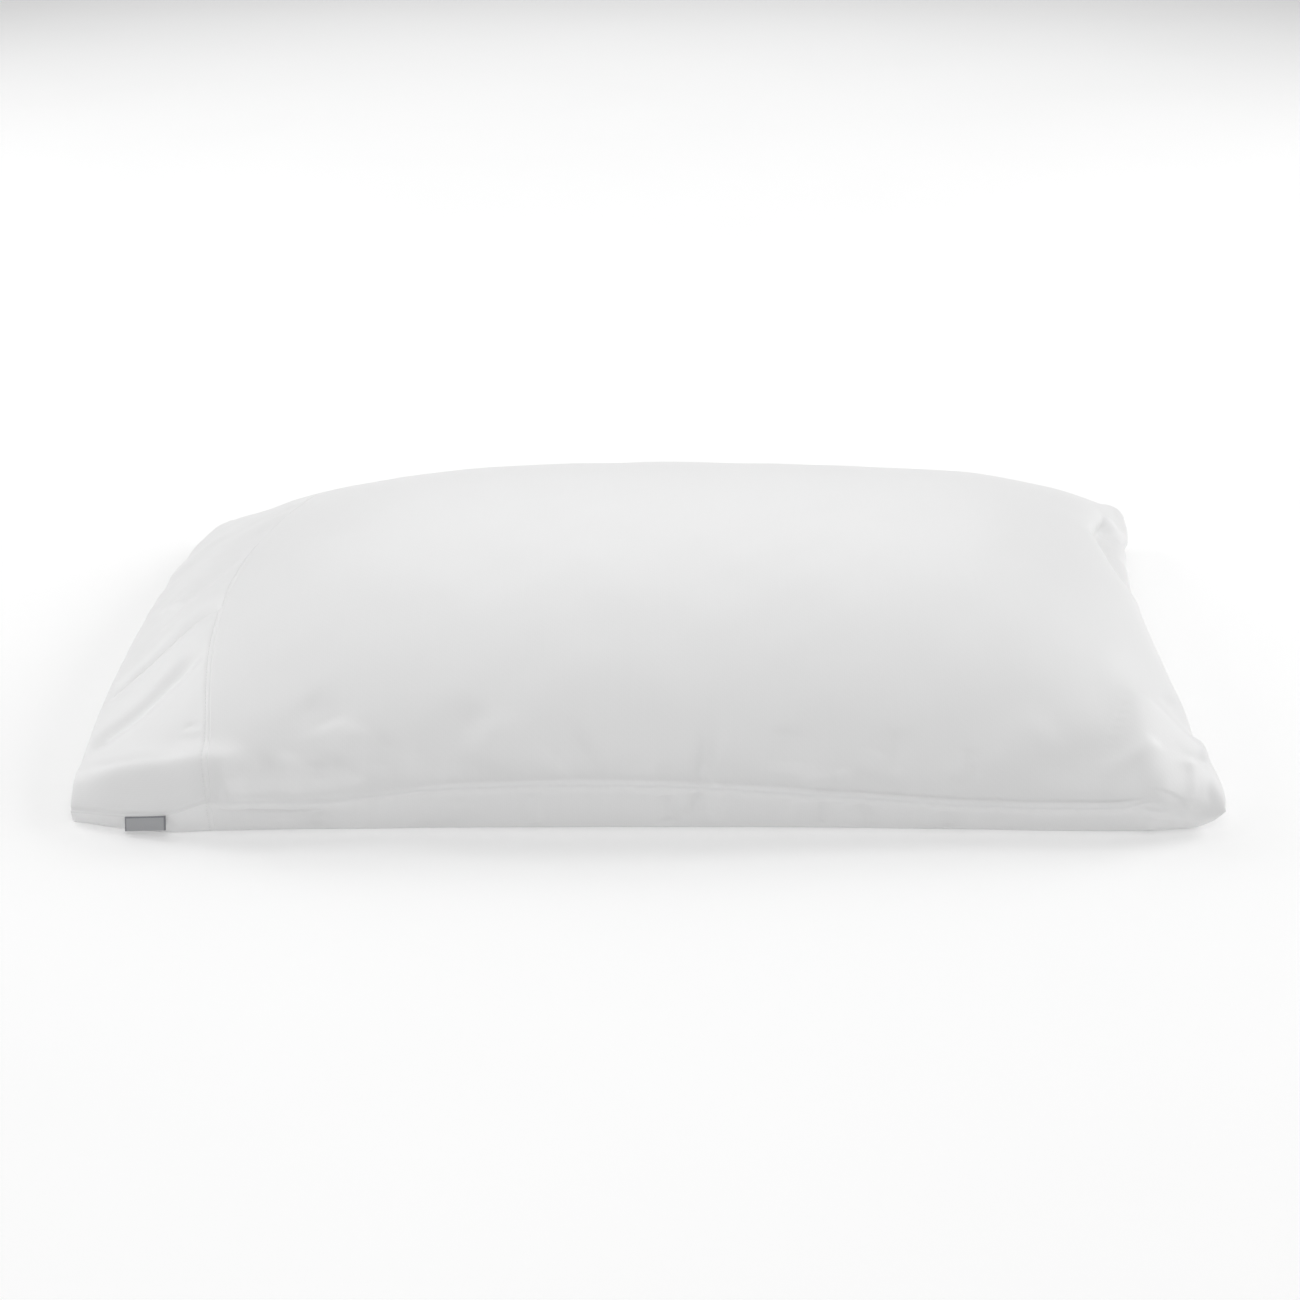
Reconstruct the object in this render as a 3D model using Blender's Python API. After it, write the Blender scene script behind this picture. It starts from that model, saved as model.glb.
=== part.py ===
"""A filled pillowcase lying on its back on a flat surface, mouth to the left.

Three pieces, as a maker cuts and sews them: the body cloth, one long piece folded at the closed end
and sewn down both long sides, filled to its crown; the cuff, a doubled strip set on round the mouth;
and a small folded label caught in the cuff's near side seam. Metres, +Z up, +X from the mouth to the
closed end, -Y the near long side. The origin is at the middle of the underside.
"""

import math

import bmesh
import bpy
from mathutils import Vector

# Cloth and gaps.
CUFF_THICKNESS = 0.002
PIECE_GAP = 0.0005
LINING_GAP = 0.0008

# Stations along the case, before the cross lines are pulled into their bows.
X_MOUTH = -0.340
X_CUFF_SEAM = -0.2555
X_TOP_ROUNDING = 0.215
X_UNDER_ROUNDING = 0.318
X_CLOSED = 0.340
X_FILLING_END = -0.292

# A row for each cross-section: where its two side seams lie, and how high it crowns.
SECTION_COLUMNS = ("x", "near_y", "near_z", "far_y", "far_z", "crest_z")
SECTIONS = (
    (-0.340, -0.2210, 0.0090, 0.2460, 0.0140, 0.0440),
    (-0.300, -0.2345, 0.0130, 0.2390, 0.0180, 0.0700),
    (-0.280, -0.2385, 0.0165, 0.2360, 0.0210, 0.0815),
    (-0.255, -0.2416, 0.0268, 0.2330, 0.0250, 0.0920),
    (-0.190, -0.2393, 0.0265, 0.2270, 0.0300, 0.1090),
    (-0.110, -0.2435, 0.0380, 0.2230, 0.0370, 0.1185),
    (0.000, -0.2435, 0.0396, 0.2210, 0.0400, 0.1230),
    (0.100, -0.2400, 0.0331, 0.2220, 0.0390, 0.1210),
    (0.190, -0.2385, 0.0288, 0.2260, 0.0360, 0.1155),
    (0.270, -0.2404, 0.0295, 0.2340, 0.0330, 0.1060),
    (0.295, -0.2415, 0.0305, 0.2370, 0.0320, 0.1040),
    (0.322, -0.2350, 0.0150, 0.2420, 0.0310, 0.1000),
    (0.340, -0.2330, 0.0140, 0.2480, 0.0310, 0.0970),
)

# How far each cross line is pulled along X: a row for each station, a column for each place on it.
PULL_PLACES = (-1.0, -0.5, 0.0, 0.5, 1.0)
PULL_COLUMNS = ("x", "near", "near_half", "middle", "far_half", "far")
PULLS = (
    (X_MOUTH, -0.0070, -0.0030, 0.0020, 0.0100, 0.0200),
    (X_CUFF_SEAM, -0.0030, -0.0150, -0.0080, 0.0140, 0.0220),
    (-0.100, 0.0000, -0.0030, 0.0000, 0.0040, 0.0060),
    (0.150, 0.0000, 0.0000, 0.0000, 0.0000, 0.0000),
    (X_CLOSED, 0.0060, -0.0080, -0.0090, 0.0030, 0.0260),
)

# Creases in the top cloth: from x, from y, to x, to y on the plan, half width, lift.
CREASES = (
    (-0.335, -0.150, -0.275, -0.110, 0.012, -0.0045),
    (-0.330, -0.095, -0.270, -0.040, 0.014, -0.0050),
    (0.340, 0.125, 0.315, 0.235, 0.032, -0.0260),
)

# Folds in the near side below the crown: from x, from z, to x, to z, half width, push outwards.
SIDE_FOLDS = (
    (0.3040, 0.0330, 0.3080, 0.0520, 0.008, -0.0035),
    (0.3210, 0.0060, 0.3180, 0.0450, 0.007, 0.0040),
    (0.3310, 0.0060, 0.3290, 0.0400, 0.006, -0.0030),
)

# The top cloth's cross-section, a flattened arch from seam to seam.
CROWN_POWER = 2.3
CROWN_FLANK = 0.62
# The underside curls up to the seam over a width of this many times the seam's height.
UNDER_CURL = 0.52
UNDER_CURL_POWER = 1.5
# The closed end's fold, at its corners and its middle.
FOLD_CORNER_Z = 0.018
FOLD_MIDDLE_Z = 0.042
ROUNDING_POWER = 2.0
CORNER_ROUND = 0.004
CORNER_ROUND_POWER = 12
SEAM_TUCK = 0.0025
CREASE_REACH = 1.5
SIDE_LIMIT = -0.5

ACROSS_STEPS = 38
EDGE_CROWDING = 0.62
BODY_STEPS = 28
ROUNDING_STEPS = 13
CUFF_STEPS = 9
FILLING_STEPS = 6
BISECTIONS = 30
MERGE_DISTANCE = 0.00004

# The label: its middle along the near seam, its size and how far it hangs out from the cuff.
LABEL_X = -0.2945
LABEL_WIDTH = 0.026
LABEL_DROP = 0.0095
LABEL_THICKNESS = 0.0010
LABEL_GAP = 0.0009
LABEL_LEAN = math.radians(8)


def smooth(xs, ys, x):
    """The value at x of a smooth curve through the points (xs, ys), level beyond its ends."""
    x = min(max(x, xs[0]), xs[-1])
    i = max(k for k in range(len(xs) - 1) if xs[k] <= x)

    def slope(k):
        low, high = max(k - 1, 0), min(k + 1, len(xs) - 1)
        return (ys[high] - ys[low]) / (xs[high] - xs[low])

    width = xs[i + 1] - xs[i]
    t = (x - xs[i]) / width
    return (
        ys[i] * (1 + 2 * t) * (1 - t) ** 2
        + slope(i) * width * t * (1 - t) ** 2
        + ys[i + 1] * t * t * (3 - 2 * t)
        - slope(i + 1) * width * t * t * (1 - t)
    )


def column(columns, rows, name, x):
    """The named column of a table, read at x between its rows."""
    at = columns.index(name)
    return smooth([row[0] for row in rows], [row[at] for row in rows], x)


def section(name, x):
    return column(SECTION_COLUMNS, SECTIONS, name, x)


def pull(x, u):
    """The shift along X of the point u of station x, where u is -1 at the near seam and 1 at the far."""
    shifts = [column(PULL_COLUMNS, PULLS, name, x) for name in PULL_COLUMNS[1:]]
    corner = CORNER_ROUND * max(0.0, -u) ** CORNER_ROUND_POWER * max(0.0, x / X_CLOSED) ** 4
    return smooth(PULL_PLACES, shifts, u) - corner


def rounding(x, start, end, power):
    """1 along the case, falling to 0 over a rounded end."""
    share = min(max((x - start) / (end - start), 0.0), 1.0)
    return math.sqrt(1 - share**power)


def folded(folds, x, across):
    """The total height at a point of the soft ridges and troughs in a list of folds."""
    total = 0.0
    for from_x, from_across, to_x, to_across, half_width, height in folds:
        run_x, run_across = to_x - from_x, to_across - from_across
        along = (x - from_x) * run_x + (across - from_across) * run_across
        along = min(max(along / (run_x**2 + run_across**2), 0.0), 1.0)
        away = math.hypot(x - from_x - along * run_x, across - from_across - along * run_across)
        total += height * math.exp(-((away / half_width) ** 2))
    return total


def seam_y(x, u):
    return (section("near_y", x) * (1 - u) + section("far_y", x) * (1 + u)) / 2


def fold_z(u):
    return FOLD_CORNER_Z + (FOLD_MIDDLE_Z - FOLD_CORNER_Z) * (1 - u * u)


def top_z(x, u):
    seam = (section("near_z", x) * (1 - u) + section("far_z", x) * (1 + u)) / 2
    crown = max(0.0, 1 - abs(u) ** CROWN_POWER) ** CROWN_FLANK
    full = seam + (section("crest_z", x) - seam) * crown
    full += folded(CREASES, x, seam_y(x, u)) * min(1.0, crown * CREASE_REACH)
    return fold_z(u) + (full - fold_z(u)) * rounding(x, X_TOP_ROUNDING, X_CLOSED, ROUNDING_POWER)


def under_z(x, u):
    from_near = seam_y(x, u) - section("near_y", x)
    from_far = section("far_y", x) - seam_y(x, u)
    seam, inward = (
        (section("near_z", x), from_near) if from_near < from_far else (section("far_z", x), from_far)
    )
    full = seam * max(0.0, 1 - inward / (UNDER_CURL * seam)) ** UNDER_CURL_POWER
    return full + (fold_z(u) - full) * (1 - rounding(x, X_UNDER_ROUNDING, X_CLOSED, ROUNDING_POWER))


def inset_z(height, x, u, inset, inward):
    """A surface's height moved inwards, square to its slope across the case."""
    step = 0.002
    rise = height(x, min(u + step, 1.0)) - height(x, max(u - step, -1.0))
    run = seam_y(x, min(u + step, 1.0)) - seam_y(x, max(u - step, -1.0))
    return height(x, u) + inward * inset * math.hypot(1.0, rise / run)


def inner_edge(x, inset, side):
    """The u where the inset top and underside meet, towards the near (-1) or far (1) seam."""
    inside, outside = 0.5 * side, side
    for _ in range(BISECTIONS):
        middle = (inside + outside) / 2
        room = inset_z(top_z, x, middle, inset, -1) - inset_z(under_z, x, middle, inset, 1)
        inside, outside = (middle, outside) if room > 0 else (inside, middle)
    return inside


def ring(x, inset=0.0):
    """The closed cross-section at station x, over the top from the near seam and back underneath."""
    near, far = (inner_edge(x, inset, -1), inner_edge(x, inset, 1)) if inset else (-1.0, 1.0)
    points = []
    for k in range(2 * ACROSS_STEPS):
        over = k if k <= ACROSS_STEPS else 2 * ACROSS_STEPS - k
        share = over / ACROSS_STEPS
        even = (1 - EDGE_CROWDING) * (2 * share - 1) - EDGE_CROWDING * math.cos(math.pi * share)
        u = near + (far - near) * (even + 1) / 2
        y = seam_y(x, u)
        if k % ACROSS_STEPS == 0:
            y += SEAM_TUCK if k == 0 else -SEAM_TUCK
        if k % ACROSS_STEPS == 0 and inset:
            z = (inset_z(top_z, x, u, inset, -1) + inset_z(under_z, x, u, inset, 1)) / 2
        elif k <= ACROSS_STEPS:
            z = inset_z(top_z, x, u, inset, -1)
        else:
            z = inset_z(under_z, x, u, inset, 1)
        if u < SIDE_LIMIT:
            y -= folded(SIDE_FOLDS, x, z)
        points.append(Vector((x + pull(x, u), y, z)))
    return points


def filling_rings():
    """The filling's own rounded end, seen through the mouth, from its edge back to the cuff's seam."""
    rings = []
    for k in range(FILLING_STEPS + 1):
        share = math.sin(math.pi / 2 * (1 - k / FILLING_STEPS))
        x = X_CUFF_SEAM + (X_FILLING_END - X_CUFF_SEAM) * share
        closing = math.sqrt(max(0.0, 1 - share**2))
        points = ring(x, CUFF_THICKNESS + LINING_GAP)
        for over in range(ACROSS_STEPS + 1):
            above, below = points[over], points[-over]
            middle = (above.z + below.z) / 2
            above.z, below.z = (middle + (z - middle) * closing for z in (above.z, below.z))
        rings.append(points)
    return rings


def loft(name, rings, material, collection):
    """A closed skin through rings of points. Where a ring's two halves meet, it closes that end."""
    around = len(rings[0])
    shape = bmesh.new()
    rows = [[shape.verts.new(point) for point in points] for points in rings]
    for near_row, far_row in zip(rows, rows[1:]):
        for k in range(around):
            after = (k + 1) % around
            shape.faces.new((near_row[k], far_row[k], far_row[after], near_row[after]))
    bmesh.ops.remove_doubles(shape, verts=shape.verts, dist=MERGE_DISTANCE)
    mesh = bpy.data.meshes.new(name)
    shape.to_mesh(mesh)
    shape.free()
    mesh.materials.append(material)
    mesh.shade_smooth()
    collection.objects.link(bpy.data.objects.new(name, mesh))


def make_case_body(material, collection):
    plain = [X_CUFF_SEAM + (X_TOP_ROUNDING - X_CUFF_SEAM) * k / BODY_STEPS for k in range(BODY_STEPS)]
    turns = [math.sin(math.pi / 2 * k / ROUNDING_STEPS) for k in range(ROUNDING_STEPS + 1)]
    rounded = [X_TOP_ROUNDING + (X_CLOSED - X_TOP_ROUNDING) * turn for turn in turns]
    rings = filling_rings() + [ring(x) for x in plain + rounded]
    loft("case_body", rings, material, collection)


def make_cuff(material, collection):
    """A sleeve: its outside from the mouth to the seam, its inside back to the mouth's turned edge."""
    end = X_CUFF_SEAM - PIECE_GAP
    xs = [X_MOUTH + (end - X_MOUTH) * k / CUFF_STEPS for k in range(CUFF_STEPS + 1)]
    outside = [ring(x) for x in xs]
    inside = [ring(x, CUFF_THICKNESS) for x in reversed(xs)]
    loft("cuff", outside + inside + outside[:1], material, collection)


def make_label(material, collection):
    """A folded strip that hangs from the cuff's near seam, clear of the floor, its foot outwards."""
    shape = bmesh.new()
    bmesh.ops.create_cube(shape, size=1)
    bmesh.ops.scale(shape, vec=(LABEL_WIDTH, LABEL_THICKNESS, LABEL_DROP), verts=shape.verts)
    bmesh.ops.translate(shape, vec=(0, 0, -LABEL_DROP / 2), verts=shape.verts)
    mesh = bpy.data.meshes.new("label")
    shape.to_mesh(mesh)
    shape.free()
    mesh.materials.append(material)
    start, end = (ring(LABEL_X + side * LABEL_WIDTH / 2)[0] for side in (-1, 1))
    along = (end - start).normalized()
    outwards = along.cross(Vector((0, 0, 1))).normalized()
    label = bpy.data.objects.new("label", mesh)
    label.location = (start + end) / 2 + outwards * (LABEL_GAP + LABEL_THICKNESS / 2)
    label.rotation_euler = (-LABEL_LEAN, -math.asin(along.z), math.atan2(along.y, along.x))
    collection.objects.link(label)


def cloth_material(name, colour, roughness):
    material = bpy.data.materials.new(name)
    material.use_nodes = True
    shader = material.node_tree.nodes["Principled BSDF"]
    shader.inputs["Base Color"].default_value = (*colour, 1)
    shader.inputs["Roughness"].default_value = roughness
    return material


def centre(parts):
    """Put the origin at the middle of the whole part's underside."""
    bpy.context.view_layer.update()
    points = [part.matrix_world @ vertex.co for part in parts for vertex in part.data.vertices]
    lows = [min(point[axis] for point in points) for axis in range(3)]
    highs = [max(point[axis] for point in points) for axis in range(2)]
    for part in parts:
        part.location.x -= (lows[0] + highs[0]) / 2
        part.location.y -= (lows[1] + highs[1]) / 2
        part.location.z -= lows[2]


def main():
    for old in list(bpy.data.objects):
        bpy.data.objects.remove(old)
    collection = bpy.data.collections.new("pillowcase")
    bpy.context.scene.collection.children.link(collection)
    make_case_body(cloth_material("white_sateen", (0.84, 0.84, 0.85), 0.5), collection)
    make_cuff(cloth_material("cuff_sateen", (0.85, 0.85, 0.86), 0.5), collection)
    make_label(cloth_material("grey_label", (0.42, 0.43, 0.45), 0.4), collection)
    centre(collection.objects)


main()
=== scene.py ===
import math

import bpy
import numpy as np
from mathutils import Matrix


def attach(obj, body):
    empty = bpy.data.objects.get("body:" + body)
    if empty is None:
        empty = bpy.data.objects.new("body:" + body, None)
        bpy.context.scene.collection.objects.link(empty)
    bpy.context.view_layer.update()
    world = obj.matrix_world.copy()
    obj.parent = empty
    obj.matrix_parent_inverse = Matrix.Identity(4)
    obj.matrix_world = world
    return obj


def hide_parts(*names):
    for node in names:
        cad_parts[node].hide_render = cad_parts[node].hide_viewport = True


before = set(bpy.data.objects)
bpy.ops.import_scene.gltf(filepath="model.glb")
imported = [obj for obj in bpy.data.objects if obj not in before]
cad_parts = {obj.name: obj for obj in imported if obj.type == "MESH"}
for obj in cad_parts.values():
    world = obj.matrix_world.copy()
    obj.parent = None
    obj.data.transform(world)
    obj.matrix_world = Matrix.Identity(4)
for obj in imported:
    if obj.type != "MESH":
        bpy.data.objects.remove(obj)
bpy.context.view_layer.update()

# ------------------------------------------------------------------------------------------------
# The body of the case: one long piece of white cotton sateen, folded at the closed end, sewn inside
# out down both long sides and turned. The pillow inside draws the top smooth. The side seams pucker
# a little, and cloth is left over at the two corners of the closed end.

# Metres, as in the part's own tables, whose origin is the middle of the flat case.
TO_FRAME = np.array((-0.0095, -0.0020, 0.0))
X_MOUTH = -0.340
X_CUFF_SEAM = -0.2555
X_TOP_ROUNDING = 0.215
X_UNDER_ROUNDING = 0.318
X_CLOSED = 0.340

# A row for each cross-section: where its two side seams lie, and how high it crowns.
SECTION_COLUMNS = ("x", "near_y", "near_z", "far_y", "far_z", "crest_z")
SECTIONS = (
    (-0.340, -0.2210, 0.0090, 0.2460, 0.0140, 0.0440),
    (-0.300, -0.2345, 0.0130, 0.2390, 0.0180, 0.0700),
    (-0.280, -0.2385, 0.0165, 0.2360, 0.0210, 0.0815),
    (-0.255, -0.2416, 0.0268, 0.2330, 0.0250, 0.0920),
    (-0.190, -0.2393, 0.0265, 0.2270, 0.0300, 0.1090),
    (-0.110, -0.2435, 0.0380, 0.2230, 0.0370, 0.1185),
    (0.000, -0.2435, 0.0396, 0.2210, 0.0400, 0.1230),
    (0.100, -0.2400, 0.0316, 0.2220, 0.0390, 0.1210),
    (0.190, -0.2385, 0.0240, 0.2260, 0.0360, 0.1155),
    (0.270, -0.2404, 0.0232, 0.2340, 0.0330, 0.1060),
    (0.295, -0.2415, 0.0262, 0.2370, 0.0320, 0.1040),
    (0.322, -0.2350, 0.0150, 0.2420, 0.0310, 0.1000),
    (0.340, -0.2330, 0.0140, 0.2480, 0.0310, 0.0970),
)

# How far each cross line is pulled along X, at five places from the near seam to the far one.
PULL_PLACES = (-1.0, -0.5, 0.0, 0.5, 1.0)
PULLS = (
    (X_MOUTH, -0.0070, -0.0030, 0.0020, 0.0100, 0.0200),
    (X_CUFF_SEAM, -0.0030, -0.0150, -0.0080, 0.0140, 0.0220),
    (-0.100, 0.0000, -0.0030, 0.0000, 0.0040, 0.0060),
    (0.150, 0.0000, 0.0000, 0.0000, 0.0000, 0.0000),
    (X_CLOSED, 0.0060, -0.0080, -0.0090, 0.0030, 0.0260),
)

# How far the near corner of the closed end is drawn in along X besides, and the number of places
# at which a cross line is read.
CORNER_PULL = 0.004
FINE_STEPS = 1201
# The closed end's fold, low at its corners, and how far the pillow lifts it at its middle.
FOLD_LOW = 0.018
FOLD_RISE = 0.024
# The crown's two powers, and how far in the underside curves down from a seam of a given height.
CROWN_SPREAD = 2.3
CROWN_FULLNESS = 0.62
UNDER_REACH = 0.52
UNDER_CURVE = 1.5
# The run of cloth over which the top and the underside are drawn together at a seam.
SEAM_JOIN = 0.012


def smooth(xs, ys, x):
    """Values at x of a smooth curve through the points (xs, ys), level beyond its ends."""
    xs = np.asarray(xs, float)
    x = np.clip(x, xs[0], xs[-1])
    rows = np.stack([np.broadcast_to(y, x.shape) for y in ys])
    i = np.clip(np.searchsorted(xs, x, side="right") - 1, 0, len(xs) - 2)

    def at(k):
        return np.take_along_axis(rows, k[None], 0)[0]

    def slope(k):
        low, high = np.maximum(k - 1, 0), np.minimum(k + 1, len(xs) - 1)
        return (at(high) - at(low)) / (xs[high] - xs[low])

    width = xs[i + 1] - xs[i]
    t = (x - xs[i]) / width
    start = at(i) * (1 + 2 * t) * (1 - t) ** 2 + slope(i) * width * t * (1 - t) ** 2
    return start + at(i + 1) * t * t * (3 - 2 * t) - slope(i + 1) * width * t * t * (1 - t)


def section(name, x):
    """The named column of the table of cross-sections, read at x between its rows."""
    column = SECTION_COLUMNS.index(name)
    return smooth([row[0] for row in SECTIONS], [row[column] for row in SECTIONS], x)


def ramp(x, start, length):
    """0 up to the start, then rising to 1 over the length. A negative length rises backwards."""
    return np.clip((x - start) / length, 0, 1)


def hump(away, width):
    """A soft hump: 1 where away is nought, and next to nothing at twice the width."""
    return np.exp(-((away / width) ** 2))


def pull(x, u):
    """The shift along X of the point u of station x, from -1 at the near seam to 1 at the far one."""
    stations = [row[0] for row in PULLS]
    shifts = [smooth(stations, [row[k] for row in PULLS], x) for k in range(1, 6)]
    corner = CORNER_PULL * np.maximum(0, -u) ** 12 * np.maximum(0, x / X_CLOSED) ** 4
    return smooth(PULL_PLACES, shifts, u) - corner


def rounding(x, start, end):
    """1 along the case, falling to 0 over a rounded end."""
    return np.sqrt(1 - ramp(x, start, end - start) ** 2)


def seam_y(x, u):
    """The place across the case of the point u of station x."""
    return (section("near_y", x) * (1 - u) + section("far_y", x) * (1 + u)) / 2


def fold_z(u):
    """The height of the closed end's fold."""
    return FOLD_LOW + FOLD_RISE * (1 - u * u)


def top_z(x, u):
    """The height of the top, full over the pillow and rounded down to the closed end's fold."""
    seam = (section("near_z", x) * (1 - u) + section("far_z", x) * (1 + u)) / 2
    crown = np.maximum(0, 1 - np.abs(u) ** CROWN_SPREAD) ** CROWN_FULLNESS
    full = seam + (section("crest_z", x) - seam) * crown
    return fold_z(u) + (full - fold_z(u)) * rounding(x, X_TOP_ROUNDING, X_CLOSED)


def under_z(x, u):
    """The height of the underside, which curves down from its seams to lie flat."""
    from_near = seam_y(x, u) - section("near_y", x)
    from_far = section("far_y", x) - seam_y(x, u)
    seam = np.where(from_near < from_far, section("near_z", x), section("far_z", x))
    inward = np.minimum(from_near, from_far)
    full = seam * np.maximum(0, 1 - inward / (UNDER_REACH * seam)) ** UNDER_CURVE
    return full + (fold_z(u) - full) * (1 - rounding(x, X_UNDER_ROUNDING, X_CLOSED))


# The steps from seam to seam of a ring of the mesh, and how far they crowd towards the seams.
HALF_RING = 230
SEAM_CROWDING = 0.72


def cross_line(x, height):
    """One cross line of the top or the underside, seam to seam, at nearly even steps of cloth."""
    u = -np.cos(np.linspace(0, math.pi, FINE_STEPS))
    x_there = np.full(u.shape, x)
    line = np.stack([x + pull(x_there, u), seam_y(x_there, u), height(x_there, u)], axis=-1)
    run = np.concatenate([[0.0], np.cumsum(np.linalg.norm(np.diff(line, axis=0), axis=1))])
    share = np.linspace(0, 1, HALF_RING + 1)
    share = (1 - SEAM_CROWDING) * share + SEAM_CROWDING * (1 - np.cos(math.pi * share)) / 2
    along = share * run[-1]
    return np.stack([np.interp(along, run, line[:, k]) for k in range(3)], axis=-1), along


def ring(x):
    """A closed cross-section, over the top from the near seam and back under, with its run of cloth.

    The two lines are drawn together where they would meet at a seam a little apart.
    """
    over, over_run = cross_line(x, top_z)
    under, under_run = cross_line(x, under_z)
    for seam in (0, -1):
        apart = over[seam, 2] - under[seam, 2]
        over[:, 2] -= apart / 2 * np.exp(-np.abs(over_run - over_run[seam]) / SEAM_JOIN)
        under[:, 2] += apart / 2 * np.exp(-np.abs(under_run - under_run[seam]) / SEAM_JOIN)
    points = np.concatenate([over, under[-2:0:-1]])
    run = np.concatenate([over_run, over_run[-1] + under_run[-1] - under_run[-2:0:-1]])
    return points, run


def ring_runs(runs):
    """The run of cloth of each ring: all the way round, and as far as its far seam."""
    return (runs[:, -1] * 2 - runs[:, -2])[:, None], runs[:, HALF_RING][:, None]


def from_seams(runs, whole_run, half_run):
    """How far along the cloth each point lies from the near seam and from the far one."""
    return np.minimum(runs, whole_run - runs), np.abs(runs - half_run)


def fold_lift(places, folds, power=2.0):
    """The height at each place of soft ridges and troughs, or of sharper ones where power is lower.

    Each fold is a half width and a height in millimetres, the shares of its line over which it fades
    in and out, and the points of that line, in millimetres too. A pair of half widths is for the left
    and the right of the line.
    """
    total = np.zeros(len(places))
    for half_width, height, fade_in, fade_out, *line in folds:
        line = np.array(line) / 1000
        left_width, right_width = np.broadcast_to(half_width, 2)
        steps = np.linalg.norm(np.diff(line, axis=0), axis=1)
        reach = np.full(len(places), np.inf)
        share = np.zeros(len(places))
        width = np.full(len(places), float(left_width))
        for k, step in enumerate(steps):
            run = line[k + 1] - line[k]
            t = np.clip((places - line[k]) @ run / step**2, 0, 1)
            offset = places - line[k] - t[:, None] * run
            away = np.linalg.norm(offset, axis=1)
            closer = away < reach
            on_left = run[0] * offset[:, 1] > run[1] * offset[:, 0]
            width = np.where(closer, np.where(on_left, left_width, right_width), width)
            reach = np.where(closer, away, reach)
            share = np.where(closer, (steps[:k].sum() + t * step) / steps.sum(), share)
        rise = ramp(share, 0, fade_in)
        fall = ramp(share, 1, -fade_out)
        fade = rise**2 * (3 - 2 * rise) * fall**2 * (3 - 2 * fall)
        total += height / 1000 * fade * np.exp(-((reach * 1000 / width) ** power))
    return total


def cloth_mesh(name, rings, runs, lengths, welded_end=False):
    """A mesh through rings of points. Its UV map is the flat cloth in metres, along and around."""
    count, around = rings.shape[:2]
    index = np.arange(count * around).reshape(count, around)
    points = rings.reshape(-1, 3)
    if welded_end:
        over = np.arange(around)
        index[-1] = (count - 1) * around + np.where(over > around // 2, around - over, over)
        points = points[: (count - 1) * around + around // 2 + 1]
    after = np.roll(index, -1, axis=1)
    faces = np.stack([index[:-1], index[1:], after[1:], after[:-1]], axis=-1).reshape(-1, 4)
    mesh = bpy.data.meshes.new(name)
    mesh.from_pydata(points.tolist(), [], faces.tolist())
    flat = np.stack([np.broadcast_to(lengths[:, None], runs.shape), runs], axis=-1)
    closing = np.concatenate([flat, flat[:, :1]], axis=1)
    closing[:, -1, 1] = runs[:, -1] + (runs[:, -1] - runs[:, -2])
    first, second = closing[:-1], closing[1:]
    corners = np.stack([first[:, :-1], second[:, :-1], second[:, 1:], first[:, 1:]], axis=2)
    mesh.uv_layers.new(name="cloth").uv.foreach_set("vector", corners.astype(np.float32).ravel())
    mesh.shade_smooth()
    return mesh


def vertex_normals(mesh):
    """The mesh's own smooth normals, a row for each vertex."""
    normals = np.empty(len(mesh.vertices) * 3, np.float32)
    mesh.vertex_normals.foreach_get("vector", normals)
    return normals.reshape(-1, 3).astype(float)


def set_places(mesh, places):
    """Move a mesh's vertices."""
    mesh.vertices.foreach_set("co", places.astype(np.float32).ravel())
    mesh.update()


def ring_lengths(rings, at=HALF_RING // 2):
    """The length of cloth from the first ring to each, by way of their points at the crown."""
    steps = np.linalg.norm(np.diff(rings[:, at], axis=0), axis=1)
    return np.concatenate([[0.0], np.cumsum(steps)])


def cloth_rings(xs):
    """The rings at some stations, and their runs of cloth."""
    rings, runs = (np.stack(part) for part in zip(*(ring(x) for x in xs)))
    return rings, runs


def closed_end_xs(count):
    """Stations over the closed end's rounding, at even steps of its turn."""
    turns = np.linspace(0, math.pi / 2, count)
    return X_TOP_ROUNDING + (X_CLOSED - X_TOP_ROUNDING) * np.sin(turns)


BESIDE_CUFF = np.array((-0.0012, -0.0005, 0, 0.0003, 0.0006, 0.0010, 0.0016, 0.0024, 0.0036))
body_xs = np.concatenate([
    X_CUFF_SEAM + BESIDE_CUFF,
    np.linspace(X_CUFF_SEAM + 0.006, X_TOP_ROUNDING, 152, endpoint=False),
    closed_end_xs(50),
])
body_rings, body_runs = cloth_rings(body_xs)
body_lengths = ring_lengths(body_rings)
body_from_near, body_from_far = from_seams(body_runs, *ring_runs(body_runs))

# The flat cloth between its seams, longer than the filled form's side seams by a few hundredths.
CUT_WIDTH = 0.515
CUT_LENGTH = 0.632
SIM_FRAMES = 24
FURTHEST_MOVE = 0.006
# How firmly the pillow's form holds the cloth: hardly near a seam, more with each centimetre away
# from it up to ten, half on a seam, and wholly at the cuff and where the cloth lies on the surface.
LEAST_GRIP = 0.004
ADDED_GRIP = 0.08
ADDED_GRIP_REACH = 0.10
SEAM_GRIP = 0.5
TOUCHING = 0.0005
# Light cotton, stiff to stretch and soft to bend, blown up a little by the pillow.
CLOTH_SETTINGS = {
    "quality": 6,
    "mass": 0.15,
    "tension_stiffness": 20,
    "compression_stiffness": 20,
    "shear_stiffness": 8,
    "bending_stiffness": 0.4,
    "air_damping": 2,
    "use_pressure": True,
    "uniform_pressure_force": 0.3,
    "vertex_group_mass": "hold",
    "pin_stiffness": 1.0,
}


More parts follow.
